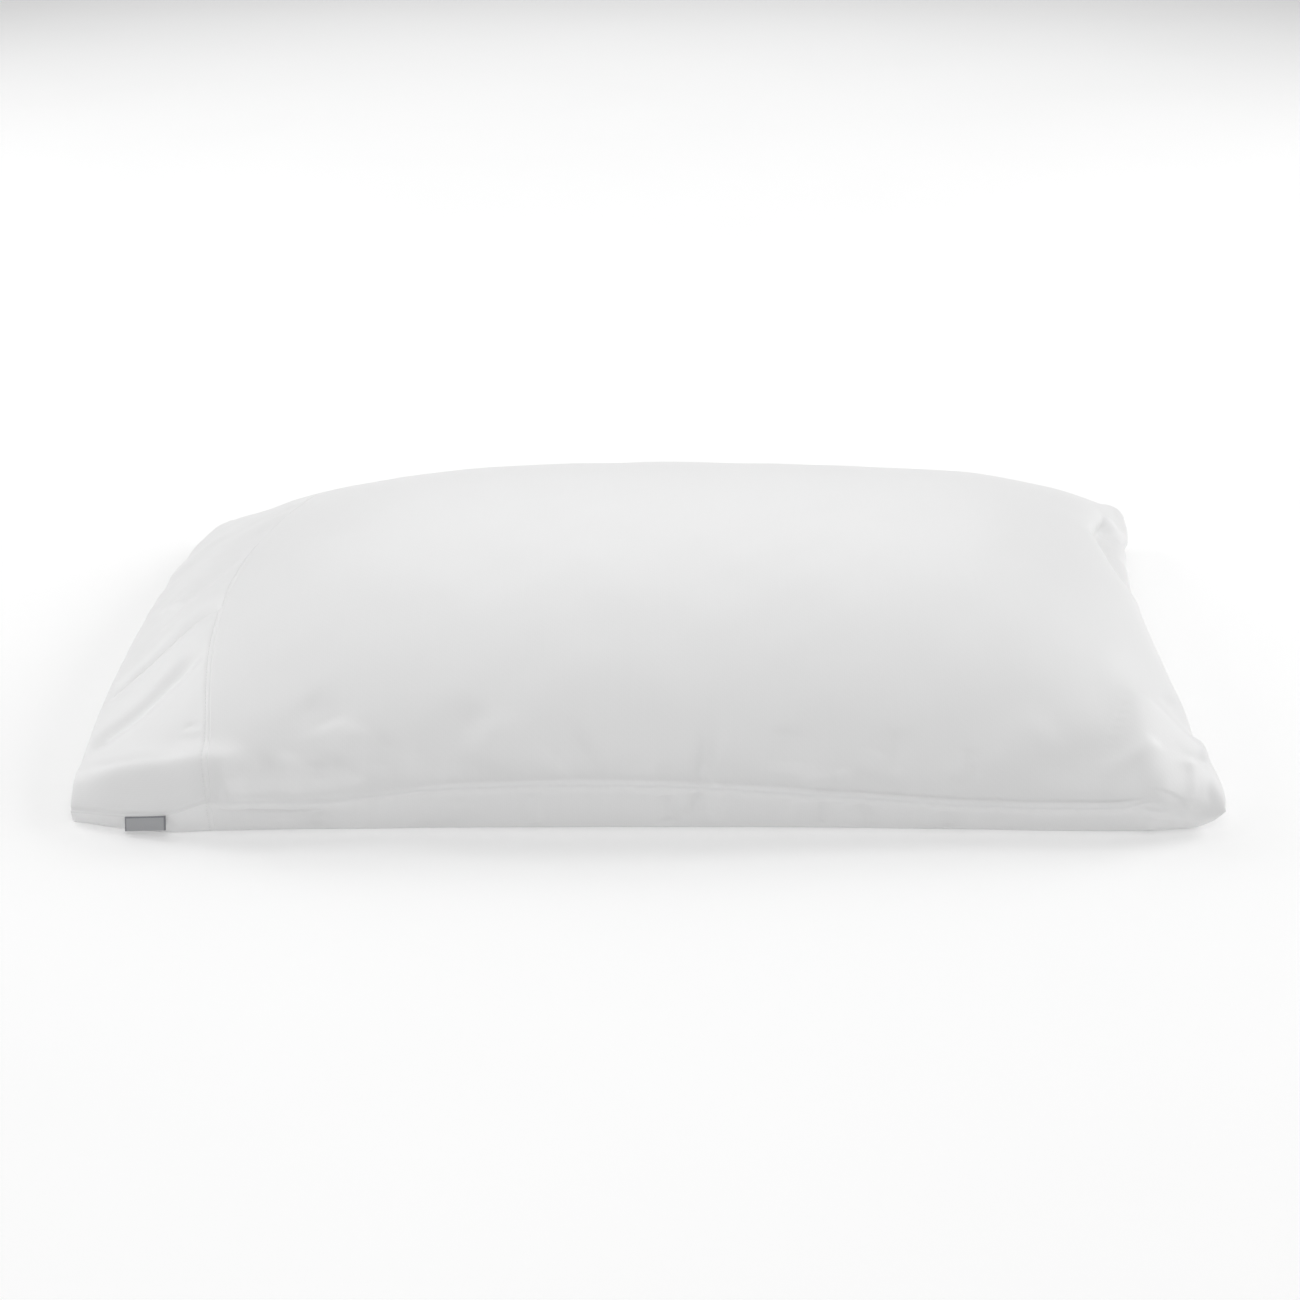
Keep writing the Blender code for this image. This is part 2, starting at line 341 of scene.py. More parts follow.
def flat_cut(coarse_runs, lengths, whole_run, half_run):
    """Where the points lie on the cloth as it is cut, with its two sides on each other."""
    over_share = coarse_runs / half_run
    under_share = (whole_run - coarse_runs) / (whole_run - half_run)
    is_over = np.arange(coarse_runs.shape[1]) <= HALF_RING // 2
    across = np.where(is_over, over_share, under_share) * CUT_WIDTH
    along = np.broadcast_to((lengths / lengths[-1])[:, None], across.shape) * CUT_LENGTH
    return np.stack([along, across, np.zeros_like(along)], axis=-1).reshape(-1, 3)


def grip_of_form(coarse, coarse_runs, whole_run, half_run):
    """How firmly each point is held to the pillow's form, from 0 to 1."""
    to_seam = np.minimum(*from_seams(coarse_runs, whole_run, half_run))
    grip = LEAST_GRIP + ADDED_GRIP * ramp(to_seam, 0, ADDED_GRIP_REACH)
    grip = np.where(to_seam < TOUCHING, SEAM_GRIP, grip)
    grip = np.where(coarse[..., 2] < TOUCHING, 1.0, grip)
    grip[0] = 1.0
    return grip.ravel()


def run_cloth(mesh, cut_places, grip):
    """The places of the mesh's vertices once Blender's cloth has settled it."""
    count = len(mesh.vertices)
    scene = bpy.context.scene
    sheet = bpy.data.objects.new("settling", mesh)
    scene.collection.objects.link(sheet)
    sheet.shape_key_add(name="filled")
    cut = sheet.shape_key_add(name="cut")
    cut.data.foreach_set("co", cut_places[:count].astype(np.float32).ravel())
    hold = sheet.vertex_groups.new(name="hold")
    for vertex, weight in enumerate(grip[:count]):
        hold.add([vertex], float(weight), "REPLACE")
    cloth = sheet.modifiers.new("cloth", "CLOTH")
    for name, value in CLOTH_SETTINGS.items():
        setattr(cloth.settings, name, value)
    cloth.settings.rest_shape_key = cut
    cloth.settings.effector_weights.gravity = 0
    cloth.collision_settings.use_collision = False
    cloth.point_cache.frame_start = 1
    cloth.point_cache.frame_end = SIM_FRAMES
    for moment in range(1, SIM_FRAMES + 1):
        scene.frame_set(moment)
    settled = sheet.evaluated_get(bpy.context.evaluated_depsgraph_get()).to_mesh()
    places = np.empty(count * 3, np.float32)
    settled.vertices.foreach_get("co", places)
    scene.frame_set(1)
    bpy.data.objects.remove(sheet)
    bpy.data.meshes.remove(mesh)
    return places.reshape(-1, 3)


def settle_cloth():
    """How far each point of the body moves when its cloth, cut flat, takes up its slack.

    Blender's cloth runs on every other point, with the flat cut as its rest shape, held loosely to
    the pillow's form. The slack then buckles along the seams and at the corners as it does in life.
    """
    along_body = np.linspace(X_CUFF_SEAM, X_TOP_ROUNDING, 80, endpoint=False)
    xs = np.concatenate([along_body, closed_end_xs(27)])
    rings, runs = cloth_rings(xs)
    lengths = ring_lengths(rings)
    coarse, coarse_runs = rings[:, ::2], runs[:, ::2]
    mesh = cloth_mesh("settling", coarse, coarse_runs, lengths, welded_end=True)
    count = len(mesh.vertices)
    cut_places = flat_cut(coarse_runs, lengths, *ring_runs(runs))
    grip = grip_of_form(coarse, coarse_runs, *ring_runs(runs))
    settled = run_cloth(mesh, cut_places, grip)
    moved = np.zeros(coarse.shape)
    moved.reshape(-1, 3)[:count] = settled - coarse.reshape(-1, 3)[:count]
    half = HALF_RING // 2
    moved[-1, half + 1 :] = moved[-1, 1:half][::-1]
    far = np.linalg.norm(moved, axis=-1, keepdims=True)
    moved *= np.minimum(1, FURTHEST_MOVE / np.maximum(far, 1e-9))
    # The points left out lie on a smooth curve through the two on either side.
    between = (np.roll(moved, -1, axis=1) + moved) * 9
    between = between - np.roll(moved, 1, axis=1) - np.roll(moved, -2, axis=1)
    fine = np.stack([moved, between / 16], axis=2).reshape(len(xs), -1, 3)
    at_lengths = np.repeat(body_lengths[:, None], len(xs), axis=1)
    return np.tensordot(smooth(lengths, np.eye(len(xs)), at_lengths), fine, 1)


# The cuff's seam holds the cloth still beside it.
HELD_BY_CUFF = 0.016
freed = ramp(body_xs, X_CUFF_SEAM, HELD_BY_CUFF) ** 2
body_rings = body_rings + settle_cloth() * freed[:, None, None]
body_rings[..., 2] = np.maximum(body_rings[..., 2], 0)

# The side seams turn over soft at the two corners of the closed end.
X_CORNERS = 0.292
SOFT_REACH = 0.030
SOFT_START = 0.020
SOFTENINGS = 60
soft_share = np.clip(1 - np.minimum(body_from_near, body_from_far) / SOFT_REACH, 0, 1)
soft_share = soft_share * ramp(body_xs, X_CORNERS, SOFT_START)[:, None]
for _ in range(SOFTENINGS):
    beside = (np.roll(body_rings, 1, axis=1) + np.roll(body_rings, -1, axis=1)) / 2
    body_rings = body_rings + (beside - body_rings) * soft_share[..., None] / 2

# The near corner is blunt, and droops a little towards the surface. Each row is an axis, a shift
# along it, the height at which that is greatest, and how far it spreads up and down.
NEAR_TIP = (0.342, -0.232, 0.018)
TIP_REACH = 0.024
TIP_SHIFTS = (
    (2, -0.0050, 0.015, 0.011),
    (0, 0.0045, 0.027, 0.009),
    (0, -0.0020, 0.014, 0.007),
)
near_tip = hump(np.linalg.norm(body_rings - NEAR_TIP, axis=-1), TIP_REACH)
tip_z = body_rings[..., 2].copy()
for axis, shift, height, spread in TIP_SHIFTS:
    body_rings[..., axis] += shift * near_tip * hump(tip_z - height, spread)
body_rings[..., 2] = np.maximum(body_rings[..., 2], 0)
body_mesh = cloth_mesh("case_cloth", body_rings, body_runs, body_lengths, welded_end=True)
body_places = body_rings.reshape(-1, 3)[: len(body_mesh.vertices)]

SHOULDER = (
    # It runs over the seam from the cuff, which is as stiff there, and dies out on the body.
    ((10, 14), 5.4, 0.45, 0.15,
     (-374, -190, 16), (-345, -202, 22), (-263, -226, 45), (-245, -230, 45), (-229, -233, 41)),
)
BODY_CREASES = (
    # The edge where the top turns down to the closed end, and two edges by the near corner.
    ((12, 21), 3.3, 0.35, 0.15,
     (280, -174, 73), (292, -175, 68), (310, -183, 55), (319, -189, 48), (326, -191, 42),
     (337, -201, 31)),
    ((9, 5), 2, 0.2, 0.2, (323, -207, 39), (324, -219, 33), (322, -231, 26), (322, -236, 18)),
    ((12, 6), 2.2, 0.2, 0.2, (293, -238, 27), (311, -235, 15), (319, -235, 11)),
)
EAR_FOLDS = (
    # The far corner of the closed end, which stands up as an ear behind a hollow.
    ((15, 8), -15.5, 0.1, 0.3,
     (337, 161, 44), (322, 110, 58), (315, 70, 70), (320, 25, 67), (321, -10, 64)),
    (6, 4, 0.2, 0.35,
     (332, 224, 34), (346, 236, 28), (351, 216, 31), (350, 178, 34), (345, 140, 36), (335, 73, 47)),
)
BODY_FOLDS = (
    # The near side's foot, which swells out over its seam.
    (7, 3.6, 0.05, 0.4, (-255, -239, 29), (-210, -237, 28), (-192, -236, 30), (-156, -237, 36)),
    (1.6, -2.6, 0.05, 0.3, (-257.6, -238.1, 21.9), (-207.2, -235.8, 20.1), (-189.4, -235.6, 20.7)),
    # Slack on the near side, in soft slanting waves.
    (8, 1.6, 0.25, 0.3, (-216, -237, 25), (-216, -236, 35), (-216, -231, 43), (-213, -223, 51)),
    (10, -2, 0.3, 0.3, (-252, -235, 39), (-229, -231, 44), (-222, -224, 50)),
    (13, -1.6, 0.3, 0.3, (-210, -196, 70), (-196, -204, 67), (-190, -215, 59)),
    (11, 1.4, 0.3, 0.3, (-184, -232, 43), (-180, -224, 53), (-172, -212, 65)),
    (6, -1, 0.3, 0.3, (-199, -235, 34), (-196, -228, 47)),
    (5, 1.2, 0.2, 0.4, (-176, -237, 27), (-174, -236, 35), (-172, -235, 41)),
    (9, -1.2, 0.3, 0.3, (-164, -236, 41), (-160, -228, 53), (-152, -222, 61)),
    (13, -2.2, 0.25, 0.3, (-144, -237, 42), (-130, -235, 52), (-115, -227, 63), (-98, -209, 78)),
    (12, 1.8, 0.25, 0.45, (-101, -240, 45), (-95, -235, 56), (-88, -224, 68), (-84, -213, 76)),
    (14, -1.8, 0.3, 0.3, (-60, -240, 48), (-49, -235, 57), (-35, -230, 63)),
    (5, 1.2, 0.3, 0.3, (-128, -240, 37), (-117, -240, 41), (-108, -241, 40)),
    # The deep pucker half way along the near seam.
    (4.2, 2.2, 0.15, 0.5,
     (39.4, -227.8, 5.8), (37.8, -237.5, 25.7), (38.8, -239.6, 38.6), (41.1, -237.1, 50.5),
     (43.5, -226.7, 63.1), (43.8, -213.6, 74.4)),
    (4, -2.6, 0.15, 0.5,
     (22.6, -232.4, 12.9), (26.6, -237.9, 25.8), (27.7, -239.2, 33.2), (30.5, -238, 49),
     (32.9, -227.4, 63.4), (34.9, -213, 75.4)),
    (2.4, 1.6, 0.2, 0.3, (30.9, -233.5, 15.5), (30.7, -237.4, 24.3), (30, -238.9, 31.7)),
    # Smaller puckers along the near seam.
    (6, 1.2, 0.3, 0.3, (-22, -241, 41), (6, -240, 42)),
    (11, -1.6, 0.3, 0.3, (80, -237, 42), (81, -231, 54), (83, -218, 67)),
    (5, 1.4, 0.3, 0.3, (88, -237, 37), (101, -237, 38), (109, -236, 37)),
    (3.5, 1.4, 0.2, 0.4, (115.5, -236.6, 34.5), (113.6, -235.8, 39.3), (112.9, -234.7, 45.3)),
    (7, 1.2, 0.3, 0.3, (128, -235, 39), (133, -233, 46), (136, -228, 53)),
    (8, -1.6, 0.3, 0.3, (140, -235, 39), (144, -229, 51), (149, -216, 64)),
    (6, 1.4, 0.3, 0.3, (182, -235, 35), (184, -232, 44), (187, -226, 52)),
    (5, -1.2, 0.3, 0.3, (190, -235, 35), (191, -232, 44), (189, -223, 55)),
    (16, 2.2, 0.3, 0.3, (198, -234, 37), (209, -228, 49), (225, -219, 58), (244, -210, 63)),
    # Tension that fans out from the near corner of the closed end.
    (13, -2, 0.3, 0.55, (237, -236, 30), (245, -233, 42), (259, -227, 49), (289, -214, 55)),
    (6, 1.5, 0.3, 0.15, (260, -235, 40), (283, -226, 48), (293, -219, 50), (303, -208, 50)),
    (15, -3.4, 0.3, 0.2, (318, -150, 57), (338, -179, 32)),
    (3.5, -0.7, 0.2, 0.2,
     (332.4, -198.9, 34.7), (333.8, -212.2, 29.3), (332.8, -225.6, 22.8), (332.4, -229.1, 13.2)),
    (7, 2.2, 0.1, 0.1, (297, -237, 24), (296, -235, 15), (296, -230, 5)),
    # The narrow strip between the near seam and the surface.
    (6, 1.6, 0.2, 0.2, (-241, -235, 12), (-225, -235, 14), (-208, -234, 13)),
    (5, -1.8, 0.2, 0.2, (-202, -229, 4), (-196, -234, 14), (-187, -235, 19)),
    (8, -1.8, 0.2, 0.2, (-147, -227, 4), (-125, -229, 7), (-101, -237, 21)),
    (4, 1.6, 0.1, 0.1, (-70.6, -240.3, 33.7), (-69.8, -237.1, 22.1), (-69.2, -228.8, 6.3)),
    (5, -2, 0.1, 0.1, (8, -239, 32), (11, -236, 21), (11, -229, 8)),
    (5, 1.4, 0.1, 0.1, (81, -237, 30), (80, -236, 22), (73, -230, 10)),
    (4, -1.4, 0.1, 0.1, (100.4, -236.4, 27.7), (100.9, -233.6, 16.9), (100.4, -227.7, 5.7)),
    (5, 1.4, 0.1, 0.1, (111, -236, 28), (113, -234, 17), (115, -224, 3)),
    (6, -1.6, 0.1, 0.1, (123, -236, 25), (128, -233, 15), (133, -224, 3)),
    (4, 1.6, 0.1, 0.1, (166.8, -235.1, 24.4), (166.3, -233.1, 15.3), (163.6, -228.4, 6.1)),
    (6, -1.4, 0.1, 0.1, (175, -234, 21), (177, -232, 13), (177, -228, 4)),
)

# Puckers along a side seam: the highest ridge, the full reach from the seam, and the ranges of their
# lean, half width, share of that reach, and step from one to the next.
PUCKER_HEIGHT = 0.0009
PUCKER_REACH = 0.014
PUCKER_LEANS = (-0.35, 0.35)
PUCKER_WIDTHS = (0.0022, 0.0050)
PUCKER_REACHES = (0.6, 1.6)
PUCKER_STEPS = (0.006, 0.014)
PUCKER_MARGIN = 0.01


def seam_puckers(x, from_seam, seed):
    """Short uneven ridges that run square from a seam and die out over the cloth beside it."""
    chance = np.random.default_rng(seed)
    total = np.zeros(len(x))
    middle = X_CUFF_SEAM + PUCKER_MARGIN
    while middle < X_CLOSED - PUCKER_MARGIN:
        lean = chance.uniform(*PUCKER_LEANS)
        width = chance.uniform(*PUCKER_WIDTHS)
        size = PUCKER_HEIGHT * chance.uniform(-1, 1)
        reach = PUCKER_REACH * chance.uniform(*PUCKER_REACHES)
        total += size * hump(x - middle - lean * from_seam, width) * hump(from_seam, reach)
        middle += chance.uniform(*PUCKER_STEPS)
    return total


WAVE_COUNT = 14
WAVE_SLOPES = (-0.6, 0.6)


def faint_waves(places, seed, height, shortest, longest):
    """Very soft unevenness all over, as a pressed cloth keeps."""
    chance = np.random.default_rng(seed)
    total = np.zeros(len(places))
    for _ in range(WAVE_COUNT):
        turn = chance.uniform(0, math.pi)
        length = chance.uniform(shortest, longest)
        heading = np.array((math.cos(turn), math.sin(turn), chance.uniform(*WAVE_SLOPES)))
        total += np.sin(2 * math.pi * places @ heading / length + chance.uniform(0, 2 * math.pi))
    return height * total / math.sqrt(WAVE_COUNT)


# A power under 2 gives the creases sharper tops than the folds have. All of them die out over a
# short way beside the cuff's seam, and over the last of the height above the surface.
CREASE_POWER = 1.2
BODY_FADE = 0.008
GROUND_FADE = 0.004
body_count = len(body_places)
body_normals = vertex_normals(body_mesh)
body_x = body_places[:, 0]
from_near = body_from_near.ravel()[:body_count]
from_far = body_from_far.ravel()[:body_count]
is_over = np.broadcast_to(np.arange(body_runs.shape[1]) <= HALF_RING, body_runs.shape)
is_over = is_over.ravel()[:body_count]
station = np.repeat(body_xs, body_runs.shape[1])[:body_count]
lift = fold_lift(body_places, BODY_FOLDS)
lift += fold_lift(body_places, EAR_FOLDS)
lift += fold_lift(body_places, BODY_CREASES, CREASE_POWER)
lift += seam_puckers(body_x, from_near, seed=4)
lift += seam_puckers(body_x, from_far, seed=9)
lift += faint_waves(body_places, seed=3, height=0.00022, shortest=0.03, longest=0.09)
lift *= ramp(station, X_CUFF_SEAM, BODY_FADE)
lift += fold_lift(body_places, SHOULDER)

# Each side seam is a rolled edge, narrow above and broad below, which is low beside the cuff and dies
# out at the closed end's corners. Towards that end it lies under a narrow ditch.
EDGE_HEIGHT = 0.0034
EDGE_WIDTH_ABOVE = 0.0012
EDGE_WIDTH_BELOW = 0.0060
EDGE_END = 0.012
LOW_EDGE_SHARE = 0.4
X_LOW_EDGE = -0.16
LOW_EDGE_RISE = 0.06
X_DITCH = 0.06
DITCH_START = 0.08
DITCH_DEPTH = 0.0006
DITCH_PLACE = 0.0026
DITCH_WIDTH = 0.0006
rolled = ramp(body_x, X_CORNERS, -EDGE_END)
rolled *= LOW_EDGE_SHARE + (1 - LOW_EDGE_SHARE) * ramp(body_x, X_LOW_EDGE, LOW_EDGE_RISE)
ditch = rolled * ramp(body_x, X_DITCH, DITCH_START)
for from_seam in (from_near, from_far):
    lift -= DITCH_DEPTH * ditch * hump(from_seam - DITCH_PLACE, DITCH_WIDTH) * is_over
    edge_width = np.where(is_over, EDGE_WIDTH_ABOVE, EDGE_WIDTH_BELOW)
    lift += EDGE_HEIGHT * rolled * hump(from_seam, edge_width)

# The body's edge is tucked in where the cuff is sewn on.
TUCK_DEPTH = 0.0006
TUCK_START = 0.0001
TUCK_STEP = 0.0002
lift -= TUCK_DEPTH / (1 + np.exp((station - X_CUFF_SEAM + TUCK_START) / TUCK_STEP))
lift *= ramp(body_places[:, 2], 0, GROUND_FADE)
body_places = body_places + body_normals * lift[:, None]
body_places[:, 2] = np.maximum(body_places[:, 2], 0)
set_places(body_mesh, body_places + TO_FRAME)


def linear(code):
    """An sRGB hex colour as linear red, green, blue and alpha."""
    parts = [int(code[k : k + 2], 16) / 255 for k in (1, 3, 5)]
    return tuple(c / 12.92 if c <= 0.04045 else ((c + 0.055) / 1.055) ** 2.4 for c in parts) + (1,)


def add_node(tree, kind, sockets=None, **settings):
    """Add a node. A socket given another node's output is linked to it, any other value is set."""
    node = tree.nodes.new(kind)
    for name, value in settings.items():
        setattr(node, name, value)
    for name, value in (sockets or {}).items():
        if isinstance(value, bpy.types.NodeSocket):
            tree.links.new(value, node.inputs[name])
        else:
            node.inputs[name].default_value = value
    return node


def empty_material(name):
    """A new material and its node tree, cleared."""
    material = bpy.data.materials.new(name)
    material.use_nodes = True
    material.node_tree.nodes.clear()
    return material, material.node_tree


def finish_cloth(tree, colour, weave, settings, strength, depth):
    """The cloth's shader on its material's output, with its colour and its weave as fine bumps."""
    bump = add_node(
        tree, "ShaderNodeBump", {"Height": weave, "Strength": strength, "Distance": depth}
    )
    settings = {"Base Color": colour, "Normal": bump.outputs["Normal"], **settings}
    shader = add_node(tree, "ShaderNodeBsdfPrincipled", settings)
    add_node(tree, "ShaderNodeOutputMaterial", {"Surface": shader.outputs["BSDF"]})


def wave_scale(spacing):
    """The scale at which a wave texture's bands lie apart by the spacing, in metres."""
    return 2 * math.pi / 20 / spacing


def cotton_sateen(name, pale, deep, thread_turn):
    """Bleached cotton sateen, pressed: long floats give a soft silky glow and no sharp reflection.

    Its threads lie 0.16 mm apart, too fine to show, so they are drawn 1.3 mm apart.
    """
    material, tree = empty_material(name)
    flat = add_node(tree, "ShaderNodeUVMap", uv_map="cloth")
    place = add_node(tree, "ShaderNodeTexCoord")
    turned = add_node(
        tree, "ShaderNodeMapping", {"Vector": flat.outputs["UV"], "Rotation": (0, 0, thread_turn)}
    )
    threads = add_node(
        tree, "ShaderNodeTexWave",
        {"Vector": turned.outputs[0], "Scale": wave_scale(0.0013), "Distortion": 1.2,
         "Detail": 2.0, "Detail Scale": 0.6},
        wave_type="BANDS", bands_direction="X",
    )
    floats = add_node(
        tree, "ShaderNodeTexWave",
        {"Vector": turned.outputs[0], "Scale": wave_scale(0.0021), "Distortion": 1.6},
        wave_type="BANDS", bands_direction="DIAGONAL",
    )
    # Thick places in the threads, drawn 2.4 mm wide and 38 mm long.
    slub_places = add_node(
        tree, "ShaderNodeMapping", {"Vector": turned.outputs[0], "Scale": (420, 26, 1)}
    )
    slubs = add_node(
        tree, "ShaderNodeTexNoise", {"Vector": slub_places.outputs[0], "Scale": 1.0, "Detail": 2.0}
    )
    weave = add_node(
        tree, "ShaderNodeMix",
        {"Factor": 0.35, "A": threads.outputs["Fac"], "B": floats.outputs["Fac"]},
    )
    relief = add_node(
        tree, "ShaderNodeMix",
        {"Factor": 0.45, "A": weave.outputs["Result"], "B": slubs.outputs["Fac"]},
    )
    cloudy = add_node(
        tree, "ShaderNodeTexNoise", {"Vector": place.outputs["Object"], "Scale": 14.0, "Detail": 3.0}
    )
    tone = add_node(
        tree, "ShaderNodeMix",
        {"Factor": 0.5, "A": cloudy.outputs["Fac"], "B": relief.outputs["Result"]},
    )
    colour = add_node(
        tree, "ShaderNodeMix",
        {"Factor": tone.outputs["Result"], "A": linear(deep), "B": linear(pale)},
        data_type="RGBA",
    )
    rough = add_node(
        tree, "ShaderNodeMapRange",
        {"Value": relief.outputs["Result"], "To Min": 0.52, "To Max": 0.44},
    )
    finish_cloth(
        tree, colour.outputs["Result"], relief.outputs["Result"],
        {"Roughness": rough.outputs["Result"], "IOR": 1.47, "Sheen Weight": 0.25,
         "Sheen Roughness": 0.45},
        strength=0.2, depth=0.00012,
    )
    return material


def place_piece(name, mesh, material):
    """Set a piece in the scene with its material. Every piece rides the part's one body."""
    piece = bpy.data.objects.new(name, mesh)
    bpy.context.scene.collection.objects.link(piece)
    mesh.materials.append(material)
    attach(piece, "root")
    return piece


body_sateen = cotton_sateen("white_cotton_sateen", "#eeeeee", "#e9e9e9", 0.0)
case_cloth = place_piece("case_cloth", body_mesh, body_sateen)

# ------------------------------------------------------------------------------------------------
# The pillow's own end, which shows through the mouth: a plump end in plain white cotton percale,
# drawn in towards its closing seam. Percale is a flat crisp weave with no sheen to speak of.

# The end lies this far inside the case, above and below, and it is a little narrower.
FILLING_CLEARANCE = 0.0080
FILLING_WIDTH_SHARE = 0.975
X_FILLING_END = -0.292
# The place round the end's rings where its length is measured, and the highest that a wave may rise.
END_MEASURED_AT = 95
END_HIGHEST_WAVE = 0.0004
end_shares = np.concatenate([np.sin(np.linspace(math.pi / 2, 0, 15)), (-0.3, -0.8)])
end_rings, end_runs = cloth_rings(X_CUFF_SEAM + (X_FILLING_END - X_CUFF_SEAM) * end_shares)
for share, points in zip(end_shares, end_rings):
    over = np.arange(len(points))
    facing = points[np.where(over == 0, 0, len(points) - over)]
    middle = (points[:, 2] + facing[:, 2]) / 2
    half = (points[:, 2] - facing[:, 2]) / 2
    closing = math.sqrt(max(0.0, 1 - max(share, 0.0) ** 2))
    half = np.sign(half) * np.maximum(np.abs(half) - FILLING_CLEARANCE, 0) * closing
    width_middle = (points[:, 1].max() + points[:, 1].min()) / 2
    points[:, 1] = width_middle + (points[:, 1] - width_middle) * FILLING_WIDTH_SHARE
    points[:, 2] = middle + half
end_mesh = cloth_mesh("pillow_end", end_rings, end_runs, ring_lengths(end_rings, END_MEASURED_AT))
end_places = end_rings.reshape(-1, 3)
end_lift = faint_waves(end_places, seed=21, height=0.0006, shortest=0.02, longest=0.05)
end_lift = np.minimum(end_lift, END_HIGHEST_WAVE)
end_places = end_places + vertex_normals(end_mesh) * end_lift[:, None]
set_places(end_mesh, end_places + TO_FRAME)


def cotton_percale(name, pale, deep):
    """Plain-woven white cotton. Threads 0.25 mm apart, drawn 1.5 mm apart so that they show."""
    material, tree = empty_material(name)
    flat = add_node(tree, "ShaderNodeUVMap", uv_map="cloth")
    warp, weft = [
        add_node(
            tree, "ShaderNodeTexWave",
            {"Vector": flat.outputs["UV"], "Scale": wave_scale(0.0015), "Distortion": 0.8},
            bands_direction=direction,
        )
        for direction in "XY"
    ]
    weave = add_node(
        tree, "ShaderNodeMath", {0: warp.outputs["Fac"], 1: weft.outputs["Fac"]}, operation="MULTIPLY"
    )
    colour = add_node(
        tree, "ShaderNodeMix", {"Factor": weave.outputs[0], "A": linear(deep), "B": linear(pale)},
        data_type="RGBA",
    )
    finish_cloth(
        tree, colour.outputs["Result"], weave.outputs[0], {"Roughness": 0.75, "IOR": 1.47},
        strength=0.4, depth=0.0002,
    )
    return material


percale = cotton_percale("pillow_percale", "#ececea", "#dededc")
pillow_end = place_piece("pillow_end", end_mesh, percale)
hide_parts("case_body")

# ------------------------------------------------------------------------------------------------
# The cuff: a strip of the same sateen, folded double and set on round the mouth, its grain turned
# across. Its two layers slide on each other, so it creases in long slanting troughs that run from
# the mouth to the seam. A row of fine stitches holds its edge beside the seam.

# The cuff's two layers are one sheet, thinner towards its seams. Its creases die out at the body.
CUFF_THICKNESS = 0.0016
CUFF_FADE = 0.006
THIN_BY_SIDE_SEAM = 0.006
SIDE_SEAM_SHARE = 0.25
THIN_BY_BODY = 0.004
BODY_SEAM_SHARE = 0.18
# The rolled edge along the cuff's side seams, and the ditch above it.
CUFF_EDGE_HEIGHT = 0.0004
CUFF_EDGE_WIDTH = 0.0008
CUFF_DITCH_DEPTH = 0.0007
CUFF_DITCH_PLACE = 0.0016
CUFF_DITCH_WIDTH = 0.0012
# The hollow along the row of stitches, the one at the body's seam, and how deep both are.
STITCH_LINE = X_CUFF_SEAM - 0.0030
STITCH_HOLLOW_WIDTH = 0.0009
SEAM_HOLLOW_WIDTH = 0.0008
HOLLOW_DEPTH = 0.0003
CUFF_FOLDS = (
    # The two long troughs and the ridges beside them.
    ((10, 5), -4.3, 0.12, 0.35,
     (-342, -180, 29), (-330, -172, 38), (-312, -167, 50), (-301, -160, 59), (-280, -143, 75),
     (-271, -132, 80)),
    ((12, 4.2), -10, 0.15, 0.38,
     (-338.2, -128.8, 39.8), (-315, -117.5, 56.7), (-303, -110.2, 65.9), (-276.7, -88.2, 85.4),
     (-259.2, -75.1, 92.3)),
    (12, -2.6, 0.35, 0.25, (-336, -85, 42), (-317, -55, 60), (-307, -45, 68), (-282, -29, 82)),
    (6, 3, 0.15, 0.2,
     (-339, -139, 36), (-327, -130, 45), (-305, -118, 63), (-277, -94, 84), (-270, -87, 88)),
    (4, 1.6, 0.3, 0.2,
     (-337.7, -1.2, 44.7), (-316.3, -30.2, 62.1), (-299, -45.4, 72.1), (-285.5, -48.8, 79.2),
     (-274.9, -55.3, 86.9), (-266.5, -49, 90.6)),
    # Broad unevenness where the cuff goes over the crown.
    (16, -4.5, 0.2, 0.3,
     (-311, -30, 67), (-295, -22, 77), (-282, -3, 84), (-274, 31, 85), (-268, 84, 79)),
    (11, 1.8, 0.3, 0.3, (-334, 49, 45), (-324, 79, 49), (-312, 103, 53), (-305, 129, 53)),
    # Small wrinkles gathered by the seam.
    (2, -0.9, 0.3, 0.3, (-279.7, -198.4, 54.6), (-274.5, -199.9, 56.6), (-268.3, -204.6, 56.9)),
    (2, 0.6, 0.3, 0.3, (-279.9, -201.6, 52.8), (-273.9, -204.2, 54.7), (-268.3, -209, 54.4)),
    (2.4, -0.3, 0.3, 0.3, (-282.7, -204, 50), (-273, -211.4, 51), (-268.1, -210.9, 53.4)),
)
BEFORE_SEAM = np.array(
    (0.0042, 0.0036, 0.0030, 0.0024, 0.0018, 0.0013, 0.0009, 0.0006, 0.0003, 0.0001)
)
cuff_xs = np.concatenate([np.linspace(X_MOUTH, X_CUFF_SEAM - 0.0050, 38), X_CUFF_SEAM - BEFORE_SEAM])
outer_rings, outer_runs = cloth_rings(cuff_xs)
outer_mesh = cloth_mesh("cuff_outside", outer_rings, outer_runs, cuff_xs)
outer_normals = vertex_normals(outer_mesh).reshape(outer_rings.shape)
outer_places = outer_rings.reshape(-1, 3)
cuff_lift = fold_lift(outer_places, CUFF_FOLDS)
cuff_lift += faint_waves(outer_places, seed=6, height=0.0003, shortest=0.02, longest=0.06)
cuff_lift = cuff_lift.reshape(outer_runs.shape) * ramp(cuff_xs, X_CUFF_SEAM, -CUFF_FADE)[:, None]
cuff_lift += fold_lift(outer_places, SHOULDER).reshape(outer_runs.shape)
cuff_from_near, cuff_from_far = from_seams(outer_runs, *ring_runs(outer_runs))
cuff_is_over = np.arange(outer_runs.shape[1]) <= HALF_RING
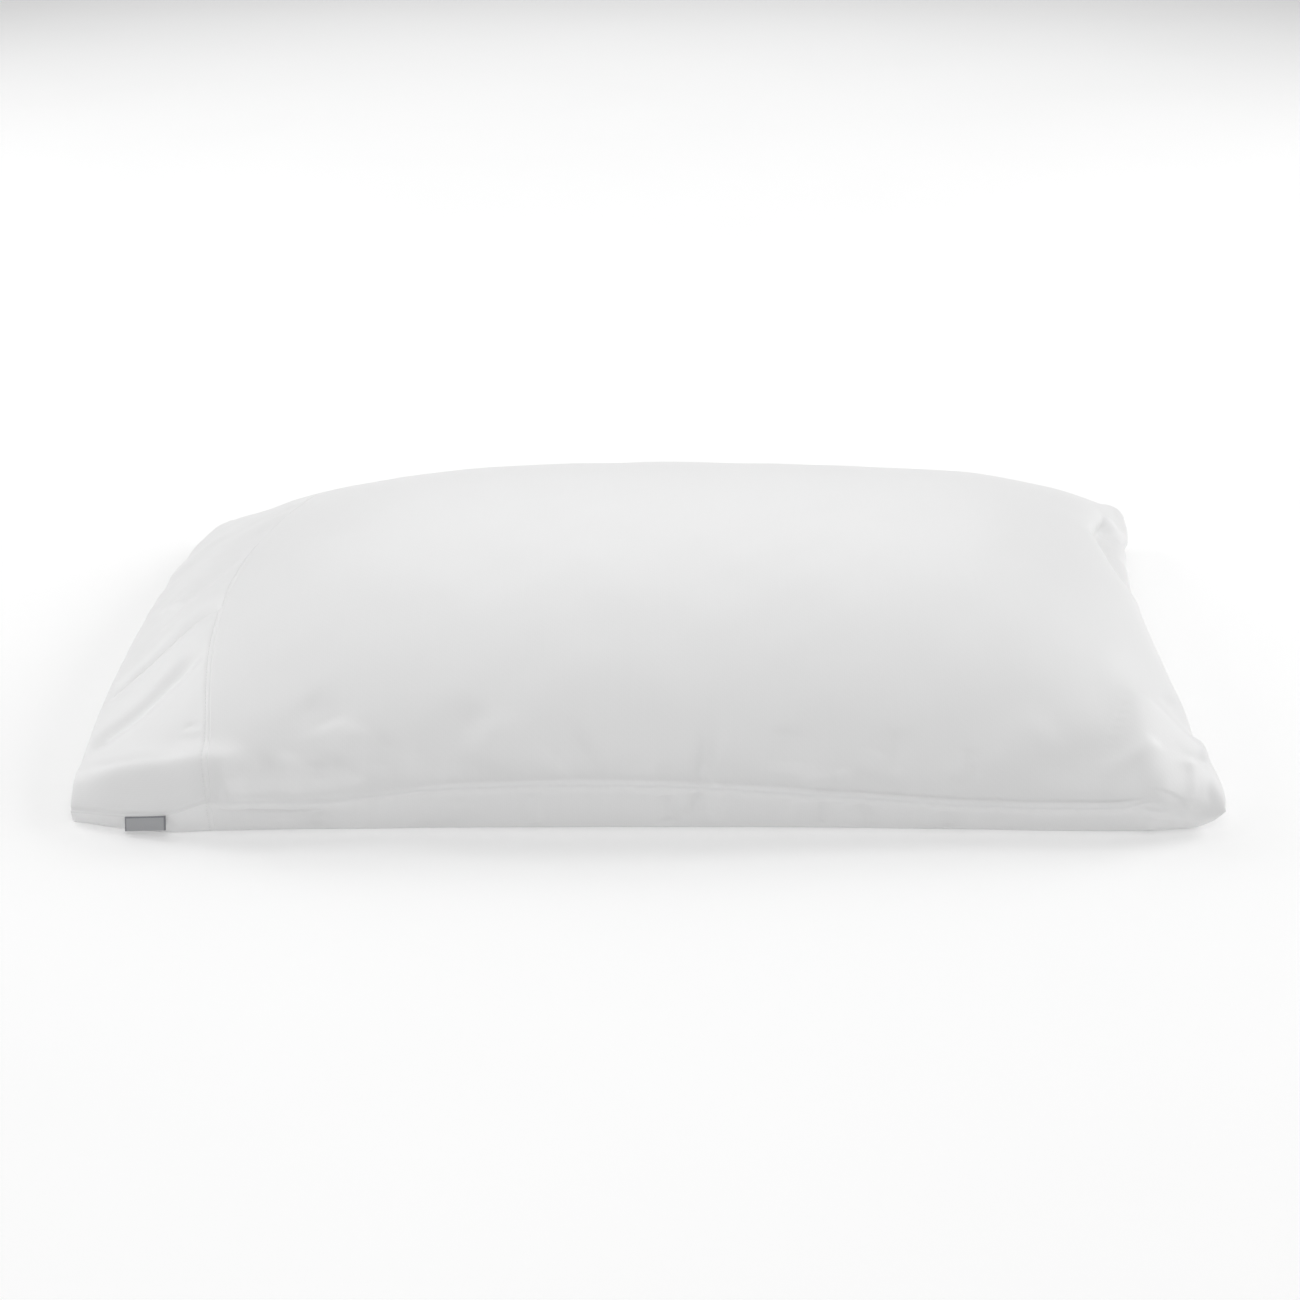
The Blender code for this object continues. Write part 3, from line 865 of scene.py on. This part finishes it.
for from_seam in (cuff_from_near, cuff_from_far):
    above = np.where(cuff_is_over, from_seam, np.inf)
    cuff_lift -= CUFF_DITCH_DEPTH * hump(above - CUFF_DITCH_PLACE, CUFF_DITCH_WIDTH)
    cuff_lift += CUFF_EDGE_HEIGHT * hump(from_seam, CUFF_EDGE_WIDTH)
cuff_lift -= HOLLOW_DEPTH * hump(cuff_xs - STITCH_LINE, STITCH_HOLLOW_WIDTH)[:, None]
cuff_lift -= HOLLOW_DEPTH * hump(cuff_xs - X_CUFF_SEAM, SEAM_HOLLOW_WIDTH)[:, None]
cuff_lift *= ramp(outer_rings[..., 2], 0, GROUND_FADE)
outside = outer_rings + outer_normals * cuff_lift[..., None]
outside[..., 2] = np.maximum(outside[..., 2], 0)
set_places(outer_mesh, outside.reshape(-1, 3))
outer_normals = vertex_normals(outer_mesh).reshape(outer_rings.shape)
from_side = np.minimum(cuff_from_near, cuff_from_far)
from_body = (X_CUFF_SEAM - cuff_xs)[:, None]
thin = CUFF_THICKNESS * np.clip(from_side / THIN_BY_SIDE_SEAM + SIDE_SEAM_SHARE, 0, 1)
thin = thin * np.clip(from_body / THIN_BY_BODY + BODY_SEAM_SHARE, 0, 1)
inside = outside - outer_normals * thin[..., None]

# The fold round the mouth, at four steps of its half turn.
EDGE_TURNS = [math.pi * share for share in (0.2, 0.4, 0.6, 0.8)]
edge_middle, edge_half = (outside[0] + inside[0]) / 2, (outside[0] - inside[0]) / 2
onwards = outside[0] - outside[1]
onwards /= np.linalg.norm(onwards, axis=1)[:, None]
edge_radius = np.linalg.norm(edge_half, axis=1)[:, None]
turned_edge = [
    edge_middle + edge_half * math.cos(turn) + onwards * edge_radius * math.sin(turn)
    for turn in EDGE_TURNS
]
edge_lengths = X_MOUTH - np.array((0.0005, 0.001, 0.0015, 0.002))
inside_lengths = 2 * X_MOUTH - 0.0025 - cuff_xs
cuff_rings = np.stack([*outside[::-1], *turned_edge, *inside])[::-1]
cuff_runs = np.stack([*outer_runs[::-1], *[outer_runs[0]] * len(EDGE_TURNS), *outer_runs])[::-1]
cuff_lengths = np.concatenate([cuff_xs[::-1], edge_lengths, inside_lengths])[::-1]
cuff_mesh = cloth_mesh("cuff_cloth", cuff_rings, cuff_runs, cuff_lengths)
set_places(cuff_mesh, cuff_rings.reshape(-1, 3) + TO_FRAME)
bpy.data.meshes.remove(outer_mesh)
cuff_sateen = cotton_sateen("cuff_cotton_sateen", "#efefef", "#eaeaea", math.pi / 2)
cuff_cloth = place_piece("cuff_cloth", cuff_mesh, cuff_sateen)
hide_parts("cuff")

# ------------------------------------------------------------------------------------------------
# The stitches beside the cuff's seam: white polyester thread, 3 mm a stitch, each pulled down at
# both its ends. Real thread is 0.25 mm thick and is drawn 0.4 mm thick so that it shows.

STITCH_PITCH = 0.0030
THREAD_RADIUS = 0.0002
THREAD_SIDES = 6
LOWEST_STITCH = 0.0006
# The points of one stitch: where along its pitch, how far over the cloth, and its share of thickness.
STITCH_SHARES = (0.08, 0.2, 0.5, 0.8, 0.92)
STITCH_HEIGHTS = (-0.0002, 0.00008, 0.00016, 0.00008, -0.0002)
STITCH_SIZES = (0.5, 0.9, 1, 0.9, 0.5)
at_stitches = int(np.argmin(np.abs(cuff_xs - STITCH_LINE)))
stitch_runs = outer_runs[at_stitches]


def at_run(rows, run):
    """A place or a normal on the ring under the stitches, at a run of its cloth."""
    return np.array([np.interp(run, stitch_runs, rows[:, k]) for k in range(3)])


verts, faces = [], []
for start in np.arange(0.002, stitch_runs[-1] - 0.004, STITCH_PITCH):
    ends = [start + STITCH_PITCH * share for share in STITCH_SHARES]
    line = np.array([at_run(outside[at_stitches], end) for end in ends])
    up = at_run(outer_normals[at_stitches], ends[2])
    if line[:, 2].min() < LOWEST_STITCH:
        continue
    up /= np.linalg.norm(up)
    along = line[-1] - line[0]
    along /= np.linalg.norm(along)
    side = np.cross(along, up)
    first = len(verts)
    for point, height, size in zip(line, STITCH_HEIGHTS, STITCH_SIZES):
        for k in range(THREAD_SIDES):
            turn = 2 * math.pi / THREAD_SIDES * k
            out = side * math.cos(turn) + up * math.sin(turn)
            verts.append(point + up * height + out * THREAD_RADIUS * size)
    last = len(verts) - THREAD_SIDES
    for row in range(first, last, THREAD_SIDES):
        for k in range(THREAD_SIDES):
            a, b = row + k, row + (k + 1) % THREAD_SIDES
            faces.append((a, b, b + THREAD_SIDES, a + THREAD_SIDES))
    faces.append(tuple(first + k for k in reversed(range(THREAD_SIDES))))
    faces.append(tuple(last + k for k in range(THREAD_SIDES)))
stitch_mesh = bpy.data.meshes.new("cuff_stitches")
stitch_mesh.from_pydata((np.array(verts) + TO_FRAME).tolist(), [], faces)
stitch_mesh.shade_smooth()


def spun_thread(name, pale, deep):
    """Spun polyester sewing thread, white, matt with a faint twist, drawn 0.6 mm a turn."""
    material, tree = empty_material(name)
    place = add_node(tree, "ShaderNodeTexCoord")
    twist = add_node(
        tree, "ShaderNodeTexWave",
        {"Vector": place.outputs["Object"], "Scale": wave_scale(0.0006)},
        bands_direction="DIAGONAL",
    )
    colour = add_node(
        tree, "ShaderNodeMix", {"Factor": twist.outputs["Fac"], "A": linear(deep), "B": linear(pale)},
        data_type="RGBA",
    )
    finish_cloth(
        tree, colour.outputs["Result"], twist.outputs["Fac"], {"Roughness": 0.6, "IOR": 1.54},
        strength=0.4, depth=0.0001,
    )
    return material


thread = spun_thread("white_thread", "#f2f2f2", "#dcdcdc")
place_piece("cuff_stitches", stitch_mesh, thread)

# ------------------------------------------------------------------------------------------------
# The label: a grey woven satin ribbon, 26 mm wide, folded once and caught in the near side seam of
# the cuff, so that it hangs as a loop with its foot just clear of the surface. It is left blank.

LABEL_X = -0.2945
LABEL_WIDTH = 0.026
LABEL_DROP = 0.0092
LABEL_THICKNESS = 0.00016
# Half the gap between its two layers, its gap from the seam, and how it hangs and curls.
LABEL_LOOP = 0.00042
LABEL_GAP = 0.0008
LABEL_LEAN = math.radians(8)
LABEL_CURL = 0.00022
CURL_TURN = 2.6 * math.pi
CURL_START = 0.6
CURL_POWER = 1.5
LABEL_STEPS = 26
LABEL_ROWS = 14
label_ends = np.array([ring(LABEL_X + side * LABEL_WIDTH / 2)[0][0] for side in (-1, 1)])
label_along = label_ends[1] - label_ends[0]
label_along /= np.linalg.norm(label_along)
label_out = np.cross(label_along, (0, 0, 1))
label_out /= np.linalg.norm(label_out)
label_down = np.array((0, 0, -1)) * math.cos(LABEL_LEAN) + label_out * math.sin(LABEL_LEAN)
label_face = np.cross(label_down, label_along)
label_face *= np.sign(label_face @ label_out)
label_top = label_ends.mean(axis=0) + label_out * LABEL_GAP
drops = np.linspace(0.0001, LABEL_DROP - LABEL_LOOP, LABEL_ROWS)
profile = [(LABEL_LOOP, drop) for drop in drops]
profile += [
    (LABEL_LOOP * math.cos(turn), LABEL_DROP - LABEL_LOOP + LABEL_LOOP * math.sin(turn))
    for turn in np.linspace(0, math.pi, 9)[1:-1]
]
profile += [(-LABEL_LOOP, drop) for drop in drops[::-1]]
front_rows = (len(profile) + 1) // 2
verts, faces, flat_places = [], [], []
for row, (out, drop) in enumerate(profile):
    for k in range(LABEL_STEPS + 1):
        share = k / LABEL_STEPS
        across = (share - 0.5) * LABEL_WIDTH
        wave = math.sin(CURL_TURN * share + CURL_START)
        curl = LABEL_CURL * wave * (drop / LABEL_DROP) ** CURL_POWER
        place = label_top + label_along * across + label_down * drop + label_face * (out + curl)
        verts.append(place)
        flat_places.append((across, drop if row < front_rows else -drop))
for row in range(len(profile) - 1):
    for k in range(LABEL_STEPS):
        a = row * (LABEL_STEPS + 1) + k
        faces.append((a, a + LABEL_STEPS + 1, a + LABEL_STEPS + 2, a + 1))
label_mesh = bpy.data.meshes.new("label_ribbon")
label_mesh.from_pydata((np.array(verts) + TO_FRAME).tolist(), [], faces)
label_map = label_mesh.uv_layers.new(name="cloth")
for loop in label_mesh.loops:
    label_map.data[loop.index].uv = flat_places[loop.vertex_index]
label_mesh.shade_smooth()


def woven_ribbon(name, ground, edge_and_shadow_colour, rib):
    """Woven polyester satin ribbon: a grey ground with darker woven edges, a painted shadow in the
    same dark colour across its top where it hangs under the seam, and fine cross ribs.

    Its ribs lie 0.2 mm apart and are drawn 0.6 mm apart so that they show.
    """
    material, tree = empty_material(name)
    flat = add_node(tree, "ShaderNodeUVMap", uv_map="cloth")
    parts = add_node(tree, "ShaderNodeSeparateXYZ", {"Vector": flat.outputs["UV"]})
    across = add_node(tree, "ShaderNodeMath", {0: parts.outputs["X"]}, operation="ABSOLUTE")
    selvedge = add_node(
        tree, "ShaderNodeMapRange",
        {"Value": across.outputs[0], "From Min": LABEL_WIDTH / 2 - 0.0011,
         "From Max": LABEL_WIDTH / 2 - 0.0007},
    )
    # Painted shadow: a band across the top of both layers, where the ribbon hangs under the seam,
    # takes the darker edge colour.
    drop = add_node(tree, "ShaderNodeMath", {0: parts.outputs["Y"]}, operation="ABSOLUTE")
    seam_shadow = add_node(
        tree, "ShaderNodeMapRange",
        {"Value": drop.outputs[0], "From Min": 0.0013, "From Max": 0.0009},
    )
    edges_and_seam_shadow = add_node(
        tree, "ShaderNodeMath", {0: selvedge.outputs[0], 1: seam_shadow.outputs[0]}, operation="MAXIMUM"
    )
    ribs = add_node(
        tree, "ShaderNodeTexWave",
        {"Vector": flat.outputs["UV"], "Scale": wave_scale(0.0006), "Distortion": 0.5},
        bands_direction="Y",
    )
    ground_colour = add_node(
        tree, "ShaderNodeMix", {"Factor": ribs.outputs["Fac"], "A": linear(rib), "B": linear(ground)},
        data_type="RGBA",
    )
    colour = add_node(
        tree, "ShaderNodeMix",
        {"Factor": edges_and_seam_shadow.outputs[0], "A": ground_colour.outputs["Result"], "B": linear(edge_and_shadow_colour)},
        data_type="RGBA",
    )
    finish_cloth(
        tree, colour.outputs["Result"], ribs.outputs["Fac"],
        {"Roughness": 0.38, "IOR": 1.54, "Sheen Weight": 0.15},
        strength=0.4, depth=0.0001,
    )
    return material


# The darker colour serves both the woven edges and the painted shadow under the seam.
ribbon = woven_ribbon("grey_woven_ribbon", "#adaeb0", "#84858a", "#a3a4a7")
label_ribbon = place_piece("label_ribbon", label_mesh, ribbon)
thickness = label_ribbon.modifiers.new("ribbon_thickness", "SOLIDIFY")
thickness.thickness = LABEL_THICKNESS
thickness.offset = 0
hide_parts("label")

# ------------------------------------------------------------------------------------------------
# The studio: a white floor, even white surroundings, a large soft light above and weaker ones at the
# sides and behind.

# Half the floor's width, and how far it lies below the cloth so that they don't share a plane.
FLOOR_REACH = 6
FLOOR_DROP = 0.0002
FLOOR_SIDES = ((-1, -1), (1, -1), (1, 1), (-1, 1))
floor_corners = [(FLOOR_REACH * x, FLOOR_REACH * y, 0) for x, y in FLOOR_SIDES]
floor_mesh = bpy.data.meshes.new("floor")
floor_mesh.from_pydata(floor_corners, [], [(0, 1, 2, 3)])
floor = bpy.data.objects.new("floor", floor_mesh)
floor.location.z = -FLOOR_DROP
bpy.context.scene.collection.objects.link(floor)
floor_material, floor_tree = empty_material("white_studio_floor")
speckle = add_node(floor_tree, "ShaderNodeTexNoise", {"Scale": 40.0, "Detail": 2.0})
floor_colour = add_node(
    floor_tree, "ShaderNodeMix",
    {"Factor": speckle.outputs["Fac"], "A": linear("#dadada"), "B": linear("#dedede")},
    data_type="RGBA",
)
# It glows a little, so that it comes out as an even white ground.
floor_shader = add_node(
    floor_tree, "ShaderNodeBsdfPrincipled",
    {"Base Color": floor_colour.outputs["Result"], "Roughness": 0.9, "Emission Color": (1, 1, 1, 1),
     "Emission Strength": 0.284, "Specular IOR Level": 0.0},
)
add_node(floor_tree, "ShaderNodeOutputMaterial", {"Surface": floor_shader.outputs["BSDF"]})
floor_mesh.materials.append(floor_material)

world = bpy.data.worlds.new("studio")
world.use_nodes = True
surroundings = world.node_tree.nodes["Background"]
surroundings.inputs["Color"].default_value = (1, 1, 1, 1)
surroundings.inputs["Strength"].default_value = 0.12
bpy.context.scene.world = world


def soft_light(name, place, size, power):
    """A large square diffuser that faces the pillow."""
    lamp = bpy.data.lights.new(name, "AREA")
    lamp.shape = "SQUARE"
    lamp.size = size
    lamp.energy = power
    light = bpy.data.objects.new(name, lamp)
    light.location = place
    aim = -np.array(place) / np.linalg.norm(place)
    light.rotation_euler = (math.acos(-aim[2]), 0, math.atan2(aim[1], aim[0]) - math.pi / 2)
    bpy.context.scene.collection.objects.link(light)


soft_light("overhead_light", (0.0, 0.3, 2.6), 2.0, 10.5)
soft_light("left_light", (-2.2, 1.2, 1.3), 1.6, 25.0)
soft_light("right_light", (2.2, 0.9, 1.3), 1.6, 33.0)
soft_light("left_top_light", (-1.5, 0.2, 2.2), 1.2, 9.5)
soft_light("left_front_light", (-2.3, -1.3, 0.9), 1.2, 3.8)
soft_light("right_front_light", (2.3, -1.3, 0.9), 1.2, 5.2)
soft_light("front_top_light", (0.0, -1.8, 2.0), 1.4, 19.3)
soft_light("back_light", (0.0, 2.4, 1.6), 2.0, 15.9)

# The camera looks 24 degrees down at the pillowcase, from about 1.7 m away.
camera_data = bpy.data.cameras.new("camera")
camera_data.sensor_width = 36
camera_data.lens = 67.85
camera_data.clip_end = 50
camera = bpy.data.objects.new("camera", camera_data)
camera.location = (-0.0095, -1.5250, 0.6949)
camera.rotation_euler = (math.radians(66), 0, 0)
bpy.context.scene.collection.objects.link(camera)
bpy.context.scene.camera = camera
bpy.context.scene.view_settings.view_transform = "Standard"
